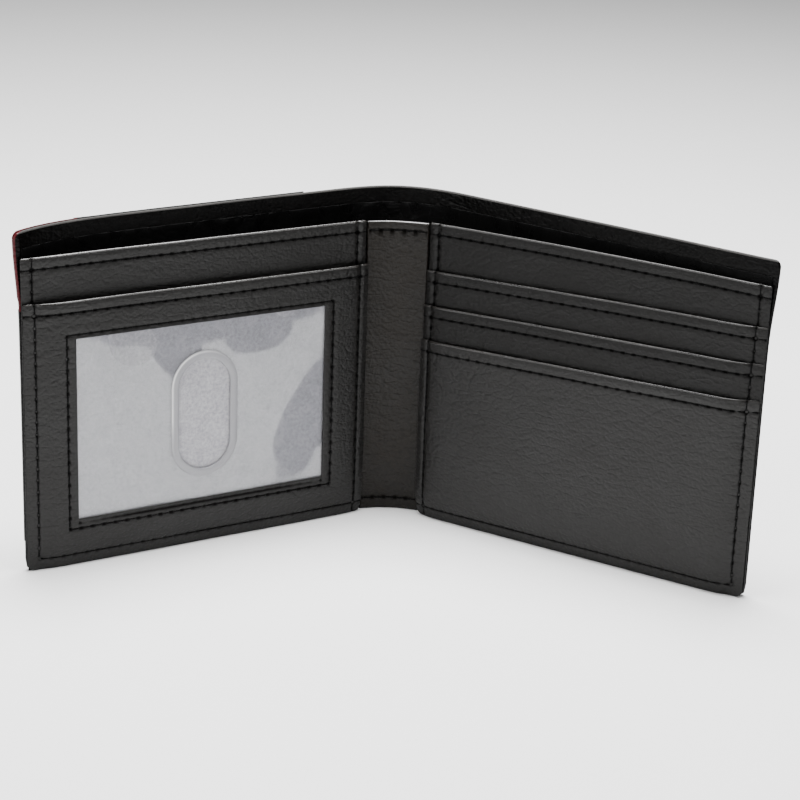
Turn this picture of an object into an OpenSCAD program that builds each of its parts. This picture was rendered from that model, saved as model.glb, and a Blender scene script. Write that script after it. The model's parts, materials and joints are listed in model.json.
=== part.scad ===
// Bifold wallet standing half open on its bottom edge.
// The inner faces look towards -Y, the spine is at the back and +Z is up.
// Each half is laid out flat in its own panel frame and then turned about its fold line:
// X runs outward from the fold, -Y is the inner (card) side and +Y the outer (shell) side.

/* [Wallet] */
// Width of one inner panel, from the fold line to its outer edge
panel_w = 100; // [96:1:110]
// Height of the inner panels
panel_h = 84.7; // [82:0.1:92]
// How far the outer shell stands above the inner panels
shell_rise = 6.5; // [4:0.5:9]
// Width of the spine strip between the two fold lines
spine_w = 16.8; // [15:0.2:22]
// Angle between each panel and the spine strip's plane
open_angle = 31; // [20:1:45]
// Radius of the panels' corners
corner_r = 2; // [1:0.5:4]

/* [Layers] */
// Thickness of a leather panel or pocket face
leather_t = 0.55; // [0.5:0.05:0.7]
// Thickness of the outer shell's leather
shell_t = 0.9; // [0.7:0.1:1.2]
// Thickness of the lining fabric
fabric_t = 0.25; // [0.2:0.05:0.3]
// Room for one card in a slot
card_gap = 0.8; // [0.8:0.05:1]
// Thickness of the clear vinyl window
vinyl_t = 0.25; // [0.2:0.05:0.3]
// Room for the paper insert behind the window
insert_gap = 0.6; // [0.5:0.05:0.8]
// Thickness of the paper insert
insert_t = 0.25; // [0.2:0.05:0.3]

/* [Card pockets] */
// Height of the upper pocket's edge, halfway along the panel
upper_edge_z = 72.7; // [70:0.5:75]
// Step down from one pocket edge to the next
pocket_step = 9.6; // [8:0.1:11]
// Rise of the pocket edges from the spine to the outer edge
pocket_rise = 2.4; // [0:0.2:3]
// Depth of a pocket below its edge
pocket_depth = 50; // [45:1:51]
// Width of the leather strip on the upper and middle pockets
pocket_strip = 20; // [15:1:25]

/* [ID pocket] */
// Height of the ID pocket's top edge
id_edge_z = 72.9; // [70:0.1:75]
// Window opening's distance from the fold line
window_u = 13.8; // [12:0.2:18]
// Window opening's width
window_w = 72.4; // [66:0.2:76]
// Height of the window opening's lower edge
window_z = 13; // [11:0.5:15]
// Window opening's height
window_h = 49.6; // [44:0.2:51]
// Width of the thumb slot
thumb_w = 15; // [12:0.5:18]
// Height of the thumb slot
thumb_h = 31; // [24:1:36]
// Width of the raised rim round the thumb slot
thumb_rim = 2.2; // [1.5:0.1:2.5]
// Height of the paper insert
insert_h = 61; // [56:1:63]

/* [Outer shell] */
// How far behind the inner panels the shell's top edge stands at the folds
shell_bow = 12; // [9:0.5:14]
// How much less it stands back at the left outer edge
left_taper = 2.6; // [1:0.2:8]
// How much less it stands back at the right outer edge
right_taper = 9; // [1:0.2:9]
// Width of the red corner field on the left half's outside, in columns of the shell grid
accent_cols = 4; // [3:1:6]
// Height of the red corner field, in rows of the shell grid
accent_rows = 3; // [2:1:5]

/* [Stitching] */
// Distance between stitches
stitch_pitch = 3.2; // [2.8:0.1:4]
// Length of one visible stitch
stitch_l = 2.1; // [1.6:0.1:2.4]
// Width of the thread
thread_w = 0.5; // [0.3:0.1:0.6]
// Distance of the seams from the edges
seam_inset = 3; // [2.5:0.1:4]

/* [Hidden] */

$fn = 24;
LEFT = -1;
RIGHT = 1;

fold_x = spine_w / 2;
fold_play = 0.3;            // layers start this far outside the fold line
shell_h = panel_h + shell_rise;
seam_w = 2;                 // width of the turned edges that close a slot
seam_in = seam_inset;       // the seam beside the fold
seam_out = panel_w - seam_inset;              // the seam beside the outer edge
margin_to_margin = [seam_in - stitch_pitch, seam_in, seam_out, seam_out + stitch_pitch];
thread_color = [0.03, 0.03, 0.03];
thread_t = 0.12;            // how far a stitch stands proud
hem_drop = 3.2;             // hem stitching below its edge
edge_lap = 0.02;            // hairline that keeps a skin off its backing
slot_play = 0.1;            // hairline between the turned edges of one slot

// Inner faces of the layers, measured from the base panel's inner face towards the card side
layer_pitch = card_gap + leather_t;
upper_t = layer_pitch;
middle_t = 2 * layer_pitch;
lower_t = 3 * layer_pitch;
id_back_t = card_gap + fabric_t;
vinyl_face_t = id_back_t + insert_gap + vinyl_t;
id_face_t = vinyl_face_t + leather_t;
// Outer faces behind the base panel
divider_back_t = leather_t + fabric_t;
seam_lap = 0.05;            // hairline between divider and lining at the bottom seam
closed_back_t = divider_back_t + seam_lap + fabric_t + edge_lap + shell_t;

// The whole wallet is placed so that the middle of its footprint is at the origin
spine_clearance = 0.35;     // spine shell clear of the halves that slide under it
spine_crown = 1.8;          // extra height of the shell's arch behind the spine
rear_y = shell_bow + spine_clearance + spine_crown + fabric_t + edge_lap + shell_t;
front_y = panel_w * sin(open_angle) + lower_t * cos(open_angle);
fold_y = (front_y - rear_y) / 2;

// Strip between the folds: a shallow arc
strip_sag = 1.2;
strip_half_w = fold_x - fold_play;
strip_front_y = 0.3;

// Shell surface grid
shell_cols = 20;
shell_rows = 12;
spine_cols = 8;
shell_lip = 0.8;            // the shell's outer edge beyond the panels
shell_hem = 4;              // the lining stops this far below the shell's top edge
bow_power = 1.25;
edge_power = 8;
edge_flare = 0.35;
wrap_w = 4;                 // the halves reach this far past the fold at the top
seam_pull = 0.85;           // share of the room that the side seam takes away
spine_flare = 1.5;          // the spine's shell widens this much on each side towards the top
crown_low = 0.3;            // height of its arch at the bottom
shell_back = fabric_t + edge_lap + shell_t;   // the shell's outside, from the lining's inner face

// Leather skins on the left half's outside: the overlay leaves the fold and the bottom seam free
overlay_t = 0.3;
overlay_depth = shell_back + edge_lap;
overlay_col = 2;
overlay_row = 1;
accent_col = shell_cols - accent_cols;
accent_row = shell_rows - accent_rows;

// Fabric and turned edges inside the panels
fabric_inset = 0.3;
divider_drop = 1;           // top of the divider below the panel's
slot_floor = 1;             // bottom of the slots above the panel's
slot_drop = 2;              // top of the turned edges below a pocket's edge
window_lap = 6;             // the vinyl reaches this far behind the frame
window_lap_top = 5;
thumb_u = window_u + window_w / 2 - 0.3;
thumb_z = window_z + window_h / 2 - 0.9;
rim_t = 0.2;                // the thumb slot's rim stands this proud
insert_u = seam_w + 1.5;
insert_z = seam_w + 1.2;
window_seam = 2.6;          // stitches outside the window opening, less above it
window_seam_top = 1.2;

// ---------------------------------------------------------------- placing

// Turns a flat panel about its fold line; the left one is mirrored
module on_panel(side) {
  translate([side * fold_x, fold_y, 0])
    rotate([0, 0, -side * open_angle])
      mirror([side < 0 ? 1 : 0, 0, 0]) children();
}

// Stands an outline drawn in (outward, up) between two layer depths; depth grows to the card side
module layer(front_t, thickness) {
  translate([0, -front_t + thickness, 0]) rotate([90, 0, 0]) linear_extrude(thickness) children();
}

// Rectangle with round corners
module round_rect(x, z, w, h, r) {
  translate([x + r, z]) square([w - 2 * r, h]);
  translate([x, z + r]) square([w, h - 2 * r]);
  for (cx = [x + r, x + w - r], cz = [z + r, z + h - r]) translate([cx, cz]) circle(r);
}

// Panel outline whose top edge rises outward by rise
module panel_outline(top_z, rise, bottom_z = 0, inset = 0) {
  left_x = fold_play + inset;
  right_x = panel_w - inset;
  r = corner_r;
  translate([left_x, bottom_z + r]) square([right_x - left_x, 2 * r]);
  translate([left_x + r, bottom_z]) square([right_x - left_x - 2 * r, 2 * r]);
  for (cx = [left_x + r, right_x - r]) translate([cx, bottom_z + r]) circle(r);
  polygon([
    [left_x, bottom_z + r], [right_x, bottom_z + r],
    [right_x, edge_z(top_z, rise, right_x)], [left_x, edge_z(top_z, rise, left_x)]
  ]);
}

// Height of a sloping pocket edge at distance u from the fold
function edge_z(mid_z, rise, u) = mid_z + rise * (u / panel_w - 0.5);

// ---------------------------------------------------------------- shell surface

// 0 at the bottom seam, 1 at the shell's top edge
function bow_share(z) = pow(z / shell_h, bow_power);

// Room between divider and shell lining: full at the fold, closed along the side seam
function shell_room(u, z, taper) =
  let (
    along = max(0, min(1, u / panel_w)),
    above = max(0, (z - panel_h) / shell_rise),
    sewn = pow(along, edge_power) * (1 - edge_flare * above)
  ) (shell_bow - closed_back_t - taper * along) * bow_share(z) * (1 - seam_pull * sewn);

// Closed sheet between two surfaces given as functions of (i, j)
module grid_sheet(cols, rows, inner, outer) {
  across = cols + 1;
  count = across * (rows + 1);
  points = concat(
    [for (j = [0:rows], i = [0:cols]) inner(i, j)],
    [for (j = [0:rows], i = [0:cols]) outer(i, j)]
  );
  inner_faces = [for (j = [0:rows - 1], i = [0:cols - 1])
    let (a = j * across + i) each [[a, a + 1, a + across + 1], [a, a + across + 1, a + across]]];
  outer_faces = [for (f = inner_faces) [f[2] + count, f[1] + count, f[0] + count]];
  rim = concat(
    [for (i = [0:cols]) i],
    [for (j = [1:rows]) j * across + cols],
    [for (i = [cols - 1:-1:0]) rows * across + i],
    [for (j = [rows - 1:-1:1]) j * across]
  );
  rim_faces = [for (k = [0:len(rim) - 1])
    let (a = rim[k], b = rim[(k + 1) % len(rim)]) each [[a, a + count, b], [b, a + count, b + count]]];
  polyhedron(points, concat(inner_faces, outer_faces, rim_faces));
}

// Lines of the common shell grid: columns outward, rows upward with the top hem as the last one
function col_u(i) = fold_play + (panel_w + shell_lip - fold_play) * i / shell_cols;
function row_z(j) = j < shell_rows ? (shell_h - shell_hem) * j / (shell_rows - 1) : shell_h;

// One skin of a shell half between two columns and two rows of the grid.
// depth is how far its inner face lies behind the lining's inner face.
module shell_skin(taper, depth, thickness, cols = [0, shell_cols], rows = [0, shell_rows]) {
  face = divider_back_t + seam_lap + depth;
  function at(i, j, back) =
    let (
      z = row_z(j + rows[0]),
      col = i + cols[0],
      u = col_u(col) - (col == 0 ? wrap_w * bow_share(z) : 0)
    ) [u, face + back + shell_room(u, z, taper), z];
  grid_sheet(cols[1] - cols[0], rows[1] - rows[0],
    function(i, j) at(i, j, 0), function(i, j) at(i, j, thickness));
}

// One skin of the shell behind the spine, arched backwards
module spine_skin(depth, thickness, rows = shell_rows) {
  function at(i, j, back) =
    let (
      z = row_z(j),
      half = strip_half_w + spine_flare * bow_share(z),
      x = half * (2 * i / spine_cols - 1),
      ends = closed_back_t + (shell_bow - closed_back_t) * bow_share(z) + spine_clearance,
      crown = crown_low + (spine_crown - crown_low) * bow_share(z)
    ) [x, fold_y + ends + crown * (1 - pow(x / half, 2)) + depth + back, z];
  grid_sheet(spine_cols, rows, function(i, j) at(i, j, 0), function(i, j) at(i, j, thickness));
}

// ---------------------------------------------------------------- stitching

// Even places along a run of the given length, with half a gap at both ends
function stitch_places(length) =
  let (count = max(1, round(length / stitch_pitch))) [for (k = [0:count - 1]) length * (k + 0.5) / count];

// A row of stitches on a panel, from a to b in (outward, up), standing on the face at depth t
module stitch_row(a, b, t) {
  run = b - a;
  length = norm(run);
  for (d = stitch_places(length)) {
    centre = a + run * d / length;
    translate([centre[0], -t, centre[1]]) rotate([90, 0, 0])
      linear_extrude(thread_t) rotate(atan2(run[1], run[0])) square([stitch_l, thread_w], center = true);
  }
}

// A side seam at distance u. Each band is a face of its own: [lower end, upper edge, depth];
// the hem stitching crosses it in a gap
module side_seam(u, bands) {
  for (b = bands) {
    stitch_row([u, b[0]], [u, b[1] - hem_drop], b[2]);
    stitch_row([u, b[1] - hem_drop], [u, b[1]], b[2]);
  }
}

// A seam below a hem or along the bottom, from margin to margin, with gaps where the side seams cross it
module cross_seam(mid_z, rise, t, stops) {
  for (k = [0:len(stops) - 2])
    stitch_row([stops[k], edge_z(mid_z, rise, stops[k])], [stops[k + 1], edge_z(mid_z, rise, stops[k + 1])], t);
}

// Number of the grid line at or before a value
function line_before(value, lines, k = 0) =
  k + 2 < len(lines) && lines[k + 1] <= value ? line_before(value, lines, k + 1) : k;

// Room between divider and lining on the faceted shell surface
function faceted_room(u, z, taper) =
  let (
    us = [for (i = [0:shell_cols]) col_u(i)],
    zs = [for (j = [0:shell_rows]) row_z(j)],
    i = line_before(u, us),
    j = line_before(z, zs),
    x = (u - us[i]) / (us[i + 1] - us[i]),
    y = (z - zs[j]) / (zs[j + 1] - zs[j]),
    low = shell_room(us[i], zs[j], taper) * (1 - x) + shell_room(us[i + 1], zs[j], taper) * x,
    high = shell_room(us[i], zs[j + 1], taper) * (1 - x) + shell_room(us[i + 1], zs[j + 1], taper) * x
  ) low * (1 - y) + high * y;

// A row of stitches on the shell's outside, depth behind the lining's inner face
module shell_row(a, b, taper, depth) {
  run = b - a;
  length = norm(run);
  dir = run / length;
  side = [-dir[1], dir[0]];
  face = divider_back_t + seam_lap + depth + edge_lap;
  for (d = stitch_places(length)) {
    at = function(i, j, back)
      let (p = a + dir * (d + (i - 0.5) * stitch_l) + side * (j - 0.5) * thread_w)
      [p[0], face + back + faceted_room(p[0], p[1], taper), p[1]];
    grid_sheet(1, 1, function(i, j) at(i, j, 0), function(i, j) at(i, j, thread_t));
  }
}

// ---------------------------------------------------------------- spine pieces

module spine_arc(sag, half) {
  steps = 12;
  front = [for (i = [0:steps]) let (x = half * (2 * i / steps - 1))
    [x, strip_front_y + sag * (1 - pow(x / half, 2))]];
  back = [for (i = [steps:-1:0]) [front[i][0], front[i][1] + leather_t]];
  polygon(concat(front, back));
}

module spine_strip() {
  color([0.13, 0.125, 0.12])
    translate([0, fold_y, 0]) linear_extrude(panel_h) spine_arc(strip_sag, strip_half_w);
}

module spine_shell() {
  color([0.12, 0.12, 0.12]) spine_skin(fabric_t + edge_lap, shell_t);
}

module spine_lining() {
  color([0.05, 0.05, 0.055]) spine_skin(0, fabric_t, shell_rows - 1);
}

module spine_stitches(z) {
  count = 5;
  color(thread_color)
    for (k = [0:count - 1]) {
      x = stitch_pitch * (k - (count - 1) / 2);
      top = strip_front_y + strip_sag * (1 - pow(min(strip_half_w, abs(x) + stitch_l / 2) / strip_half_w, 2));
      translate([x - stitch_l / 2, fold_y + top - thread_t, z]) cube([stitch_l, thread_t, thread_w]);
    }
}

module spine_top_stitching() { spine_stitches(panel_h - hem_drop); }

module spine_bottom_stitching() { spine_stitches(seam_inset); }

// ---------------------------------------------------------------- pieces common to both halves

module base_panel() {
  color([0.14, 0.14, 0.14]) layer(0, leather_t) panel_outline(panel_h, 0);
}

module divider() {
  color([0.05, 0.05, 0.055])
    layer(-leather_t, fabric_t) panel_outline(panel_h - divider_drop, 0, inset = fabric_inset);
}

module shell_half(taper) {
  color([0.12, 0.12, 0.12])
    shell_skin(taper, shell_back - shell_t, shell_t);
}

module lining_half(taper) {
  color([0.05, 0.05, 0.055])
    shell_skin(taper, 0, fabric_t, rows = [0, shell_rows - 1]);
}

// Turned edges that close a slot along both sides and the bottom, as three strips
module slot_edges(front_t, thickness, bottom_z, top_z) {
  color([0.1, 0.1, 0.1]) layer(front_t, thickness) {
    low_u = fold_play + fabric_inset;
    high_u = panel_w - fabric_inset;
    for (x = [low_u, high_u - seam_w]) translate([x, bottom_z]) square([seam_w, top_z - bottom_z]);
    translate([low_u + seam_w + slot_play, bottom_z])
      square([high_u - low_u - 2 * (seam_w + slot_play), seam_w]);
  }
}

// The border seam: along the bottom, round the corner and up the outer edge
module border_stitches(bottom_t, bands) {
  color(thread_color) {
    cross_seam(seam_inset, 0, bottom_t, [seam_in - stitch_pitch, seam_in, seam_out]);
    side_seam(seam_out, bands);
  }
}

// The seam beside the fold runs on past the bottom seam
module fold_seam_stitches(bottom_t, bands) {
  color(thread_color) {
    stitch_row([seam_in, 0], [seam_in, seam_inset], bottom_t);
    side_seam(seam_in, bands);
  }
}

module hem_stitches(mid_z, rise, t) {
  color(thread_color) cross_seam(mid_z - hem_drop, rise, t, margin_to_margin);
}

// The border seam seen on the outside of the shell; skin is the depth of what covers it above the
// bottom row of the grid
module shell_stitches(taper, skin) {
  foot = row_z(overlay_row);
  color(thread_color) {
    shell_row([seam_in + 1, seam_inset], [seam_out, seam_inset], taper, shell_back);
    shell_row([seam_out, seam_inset], [seam_out, foot - edge_lap], taper, shell_back);
    shell_row([seam_out, foot + edge_lap], [seam_out, shell_h - hem_drop], taper, skin);
  }
}

// ---------------------------------------------------------------- left half

module left_shell() { on_panel(LEFT) shell_half(left_taper); }

module left_lining() { on_panel(LEFT) lining_half(left_taper); }

module left_divider() { on_panel(LEFT) divider(); }

module left_base_panel() { on_panel(LEFT) base_panel(); }

// Black overlay on the shell's outside; it leaves the upper outer corner to the red field
module left_shell_overlay() {
  on_panel(LEFT) color([0.09, 0.09, 0.09]) {
    shell_skin(left_taper, overlay_depth, overlay_t, [overlay_col, accent_col], [overlay_row, shell_rows]);
    shell_skin(left_taper, overlay_depth, overlay_t, [accent_col, shell_cols], [overlay_row, accent_row]);
  }
}

module left_shell_accent() {
  on_panel(LEFT) color([0.32, 0.05, 0.06])
    shell_skin(left_taper, overlay_depth, overlay_t, [accent_col, shell_cols], [accent_row, shell_rows]);
}

module left_slot_edges() { on_panel(LEFT) slot_edges(card_gap, card_gap, slot_floor, id_edge_z - slot_drop); }

module id_pocket_back() {
  on_panel(LEFT) color([0.06, 0.06, 0.065])
    layer(id_back_t, fabric_t) panel_outline(id_edge_z - divider_drop, 0, inset = fabric_inset);
}

module id_pocket_edges() {
  on_panel(LEFT) slot_edges(id_back_t + insert_gap, insert_gap, slot_floor, id_edge_z - slot_drop);
}

module id_frame() {
  on_panel(LEFT) color([0.15, 0.15, 0.145]) layer(id_face_t, leather_t) difference() {
    panel_outline(id_edge_z, 0);
    translate([window_u, window_z]) square([window_w, window_h]);
  }
}

// Upright stadium, r wider all round than the thumb slot
module thumb_outline(r) {
  translate([thumb_u, thumb_z]) offset(r) {
    square([thumb_w, thumb_h - thumb_w], center = true);
    for (s = [-1, 1]) translate([0, s * (thumb_h - thumb_w) / 2]) circle(thumb_w / 2);
  }
}

module id_window() {
  on_panel(LEFT) color([0.8, 0.82, 0.85, 0.4]) {
    layer(vinyl_face_t, vinyl_t) difference() {
      round_rect(window_u - window_lap, window_z - window_lap,
        window_w + 2 * window_lap, window_h + window_lap + window_lap_top, 1);
      thumb_outline(0);
    }
    layer(vinyl_face_t + rim_t, rim_t) difference() {
      thumb_outline(thumb_rim);
      thumb_outline(0);
    }
  }
}

module id_insert() {
  play = (insert_gap - insert_t) / 2;
  on_panel(LEFT) color([0.72, 0.72, 0.73]) layer(id_back_t + play + insert_t, insert_t)
    round_rect(insert_u, insert_z, panel_w - 2 * insert_u, insert_h, corner_r);
}

left_bands = [[seam_inset, id_edge_z, id_face_t], [id_edge_z, panel_h, 0]];

module left_border_stitching() { on_panel(LEFT) border_stitches(id_face_t, left_bands); }

module left_seam_stitching() { on_panel(LEFT) fold_seam_stitches(id_face_t, left_bands); }

module left_hem_stitching() { on_panel(LEFT) hem_stitches(panel_h, 0, 0); }

module id_hem_stitching() { on_panel(LEFT) hem_stitches(id_edge_z, 0, id_face_t); }

module id_window_stitching() {
  low = [window_u - window_seam, window_z - window_seam];
  high = [window_u + window_w + window_seam, window_z + window_h + window_seam_top];
  on_panel(LEFT) color(thread_color) {
    for (z = [low[1], high[1]]) stitch_row([low[0], z], [high[0], z], id_face_t);
    for (u = [low[0], high[0]]) stitch_row([u, low[1]], [u, high[1]], id_face_t);
  }
}

module left_shell_stitching() { on_panel(LEFT) shell_stitches(left_taper, overlay_depth + overlay_t); }

// ---------------------------------------------------------------- right half

module right_shell() { on_panel(RIGHT) shell_half(right_taper); }

module right_lining() { on_panel(RIGHT) lining_half(right_taper); }

module right_divider() { on_panel(RIGHT) divider(); }

module right_base_panel() { on_panel(RIGHT) base_panel(); }

function pocket_z(k) = upper_edge_z - k * pocket_step;

// Leather strip along a pocket's edge, with straight sloping top and bottom
module pocket_strip_face(k, t) {
  top_z = pocket_z(k);
  color([0.145, 0.145, 0.14]) layer(t, leather_t) polygon([
    [fold_play, edge_z(top_z, pocket_rise, fold_play)],
    [panel_w, edge_z(top_z, pocket_rise, panel_w)],
    [panel_w, edge_z(top_z - pocket_strip, pocket_rise, panel_w)],
    [fold_play, edge_z(top_z - pocket_strip, pocket_rise, fold_play)]
  ]);
}

// Fabric that carries a pocket's strip down to its own bottom
module pocket_fabric(k, t) {
  top_z = pocket_z(k) - pocket_strip - slot_play;
  bottom_z = pocket_z(k) - pocket_depth;
  back_t = t - leather_t + fabric_t;
  color([0.06, 0.06, 0.065]) layer(back_t, fabric_t) polygon([
    [fold_play + fabric_inset, edge_z(top_z, pocket_rise, fold_play)],
    [panel_w - fabric_inset, edge_z(top_z, pocket_rise, panel_w)],
    [panel_w - fabric_inset, bottom_z],
    [fold_play + fabric_inset, bottom_z]
  ]);
}

module upper_pocket_face() { on_panel(RIGHT) pocket_strip_face(0, upper_t); }

module upper_pocket_tail() { on_panel(RIGHT) pocket_fabric(0, upper_t); }

module upper_pocket_edges() {
  on_panel(RIGHT) slot_edges(card_gap, card_gap, pocket_z(0) - pocket_depth, pocket_z(0) - slot_drop);
}

module middle_pocket_face() { on_panel(RIGHT) pocket_strip_face(1, middle_t); }

module middle_pocket_tail() { on_panel(RIGHT) pocket_fabric(1, middle_t); }

module middle_pocket_edges() {
  on_panel(RIGHT) slot_edges(upper_t + card_gap, card_gap, pocket_z(1) - pocket_depth, pocket_z(1) - slot_drop);
}

module lower_pocket_face() {
  on_panel(RIGHT) color([0.15, 0.15, 0.145])
    layer(lower_t, leather_t) panel_outline(pocket_z(2), pocket_rise);
}

module lower_pocket_edges() {
  on_panel(RIGHT) slot_edges(middle_t + card_gap, card_gap, slot_floor, pocket_z(2) - slot_drop);
}

// The side seams step from layer to layer
function right_bands(u) =
  let (tops = [for (k = [0:2]) edge_z(pocket_z(k), pocket_rise, u)])
  [
    [seam_inset, tops[2], lower_t], [tops[2], tops[1], middle_t],
    [tops[1], tops[0], upper_t], [tops[0], panel_h, 0]
  ];

module right_border_stitching() { on_panel(RIGHT) border_stitches(lower_t, right_bands(seam_out)); }

module right_seam_stitching() { on_panel(RIGHT) fold_seam_stitches(lower_t, right_bands(seam_in)); }

module right_hem_stitching() { on_panel(RIGHT) hem_stitches(panel_h, 0, 0); }

module upper_hem_stitching() { on_panel(RIGHT) hem_stitches(pocket_z(0), pocket_rise, upper_t); }

module middle_hem_stitching() { on_panel(RIGHT) hem_stitches(pocket_z(1), pocket_rise, middle_t); }

module lower_hem_stitching() { on_panel(RIGHT) hem_stitches(pocket_z(2), pocket_rise, lower_t); }

module right_shell_stitching() { on_panel(RIGHT) shell_stitches(right_taper, shell_back); }

// ---------------------------------------------------------------- assembly

spine_strip();
spine_shell();
spine_lining();
spine_top_stitching();
spine_bottom_stitching();
left_shell();
left_shell_overlay();
left_shell_accent();
left_lining();
left_divider();
left_base_panel();
left_slot_edges();
id_pocket_back();
id_pocket_edges();
id_frame();
id_window();
id_insert();
left_border_stitching();
left_seam_stitching();
left_hem_stitching();
id_hem_stitching();
id_window_stitching();
left_shell_stitching();
right_shell();
right_lining();
right_divider();
right_base_panel();
upper_pocket_face();
upper_pocket_tail();
upper_pocket_edges();
middle_pocket_face();
middle_pocket_tail();
middle_pocket_edges();
lower_pocket_face();
lower_pocket_edges();
right_border_stitching();
right_seam_stitching();
right_hem_stitching();
upper_hem_stitching();
middle_hem_stitching();
lower_hem_stitching();
right_shell_stitching();
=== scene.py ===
"""Looks of an open bifold wallet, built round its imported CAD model.

Sizes are in millimetres unless a name says otherwise, and turn into metres when a mesh is made. Each half
is shaped flat in its own panel frame, (outward u, towards the cards t, up z), and then placed at its angle.
"""
import json
import math

import bmesh
import bpy
import numpy as np
from mathutils import Matrix, Vector


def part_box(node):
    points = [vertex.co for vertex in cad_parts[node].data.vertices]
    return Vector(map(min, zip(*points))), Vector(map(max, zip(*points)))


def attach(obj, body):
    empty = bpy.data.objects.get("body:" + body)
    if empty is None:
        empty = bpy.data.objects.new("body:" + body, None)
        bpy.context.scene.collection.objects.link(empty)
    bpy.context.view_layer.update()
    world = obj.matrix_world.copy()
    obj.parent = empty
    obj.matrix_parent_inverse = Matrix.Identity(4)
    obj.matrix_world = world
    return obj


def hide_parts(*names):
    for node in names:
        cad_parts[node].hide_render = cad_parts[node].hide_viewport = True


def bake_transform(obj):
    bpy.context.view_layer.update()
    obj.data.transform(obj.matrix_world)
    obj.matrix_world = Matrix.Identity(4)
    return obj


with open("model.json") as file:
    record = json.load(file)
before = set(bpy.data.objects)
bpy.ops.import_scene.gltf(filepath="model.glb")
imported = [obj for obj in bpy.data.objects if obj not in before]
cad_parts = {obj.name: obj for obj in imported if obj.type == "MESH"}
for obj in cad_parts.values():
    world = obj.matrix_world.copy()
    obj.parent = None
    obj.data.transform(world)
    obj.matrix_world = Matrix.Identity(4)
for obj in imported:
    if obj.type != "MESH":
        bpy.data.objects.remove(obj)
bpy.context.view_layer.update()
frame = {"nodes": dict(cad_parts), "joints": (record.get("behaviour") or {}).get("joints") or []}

MM = 0.001
LEFT, RIGHT = -1, 1
BODY = {LEFT: "left_half", RIGHT: "right_half"}
SIDE_NAME = {LEFT: "left", RIGHT: "right"}

# ------------------------------------------------------------------ sizes, as the CAD model has them
joint = {j["name"]: j for j in frame["joints"]}
FOLD_X = joint["right_fold"]["pos_m"][0] / MM
FOLD_Y = joint["right_fold"]["pos_m"][1] / MM
OPEN = math.radians(31)
PANEL_W = 100
FOLD_PLAY = 0.3
LEATHER, SHELL, FABRIC, VINYL, PAPER = 0.55, 0.9, 0.25, 0.25, 0.25
SKIN, SKIN_PROUD = 0.3, 0.32
CARD_GAP, INSERT_GAP = 0.8, 0.6
PITCH = CARD_GAP + LEATHER
POCKET_RISE, POCKET_DEPTH, POCKET_STRIP = 2.4, 50, 20
WINDOW = (13.8, 13.0, 13.8 + 72.4, 13.0 + 49.6)
THUMB_W, THUMB_H, THUMB_RIM = 15, 31, 2.2
THUMB_AT = (49.7, 36.9)
HEM_W = 5
EDGE_ROWS = 4
PANEL_CORNERS, SHELL_CORNER = (1.8, 0.4), 1.8
INSERT_SPAN = (3.5, 96.5)
FIELD_FROM = 0.8
FIELD_TURN_LOW, FIELD_TURN_W = 71.6, 0.9


def top_of(node):
    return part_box(node)[1].z / MM


PANEL_H = top_of("left_base_panel")
ID_EDGE = top_of("id_frame")
SHELL_H = top_of("right_shell")
FIELD_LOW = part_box("left_shell_accent")[0].z / MM
OVERLAY_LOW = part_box("left_shell_overlay")[0].z / MM
POCKET_Z = [top_of(f"{level}_pocket_face") - POCKET_RISE / 2 for level in ("upper", "middle", "lower")]
ID_BACK_T = CARD_GAP + FABRIC
VINYL_T = ID_BACK_T + INSERT_GAP + VINYL
ID_FACE_T = VINYL_T + LEATHER
CLOSED_BACK = LEATHER + FABRIC + 0.05 + FABRIC + 0.02 + SHELL
SHELL_BOW = 12
TAPER = {LEFT: 2.6, RIGHT: 9}


# ------------------------------------------------------------------ placing
def smooth(x):
    x = np.clip(x, 0, 1)
    return x * x * (3 - 2 * x)


def settle(side, u, t, z):
    """Depth t once the sewing has drawn the layers together along the seams and the top has eased back."""
    pinch = np.exp(-((PANEL_W - u) / 4.5) ** 2) + 0.45 * np.exp(-(u / 4) ** 2) + 0.6 * np.exp(-(z / 4.5) ** 2)
    eased = t * (1 - np.where(t > 0, 0.65, 0.4) * np.clip(pinch, 0, 1))
    lean = {LEFT: 0.4, RIGHT: 1.6}[side]
    return eased - lean * np.sin(np.pi * np.clip(u / PANEL_W, 0, 1)) * smooth((z - 45) / 40)


def place(side, u, t, z):
    """Points of a panel in its own frame as row-frame points, in millimetres."""
    u, t, z = np.broadcast_arrays(np.asarray(u, float), np.asarray(t, float), np.asarray(z, float))
    t = settle(side, u, t, z)
    c, s = math.cos(OPEN), math.sin(OPEN)
    return np.stack([side * (FOLD_X + u * c - t * s), FOLD_Y - u * s - t * c, z], -1)


def unplace(side, points):
    """The panel frame (u, z) of row-frame points."""
    dx, dy = side * points[..., 0] - FOLD_X, points[..., 1] - FOLD_Y
    return dx * math.cos(OPEN) - dy * math.sin(OPEN), points[..., 2]


# ------------------------------------------------------------------ mesh making
def lines(low, high, step, roll_low, roll_high, dense=()):
    """Grid lines from low to high: close together round the rolled ends and near the places in dense."""
    ends = 1 - np.cos(np.linspace(0, math.pi / 2, 5))
    head = low + roll_low * ends if roll_low else np.array([low])
    tail = high - roll_high * ends[::-1]
    inner = []
    x = head[-1] + 0.3
    while x < tail[0] - 0.2:
        inner.append(x)
        near = min([abs(x - d) for d in dense], default=99)
        x += min(step, max(0.3, near * 0.5))
    return np.concatenate([head, inner, tail])


def roll(distance, radius):
    """Share of the thickness left at a distance from a rounded edge."""
    return np.sqrt(1 - (1 - np.clip(distance / radius, 0, 1)) ** 2)


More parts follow.
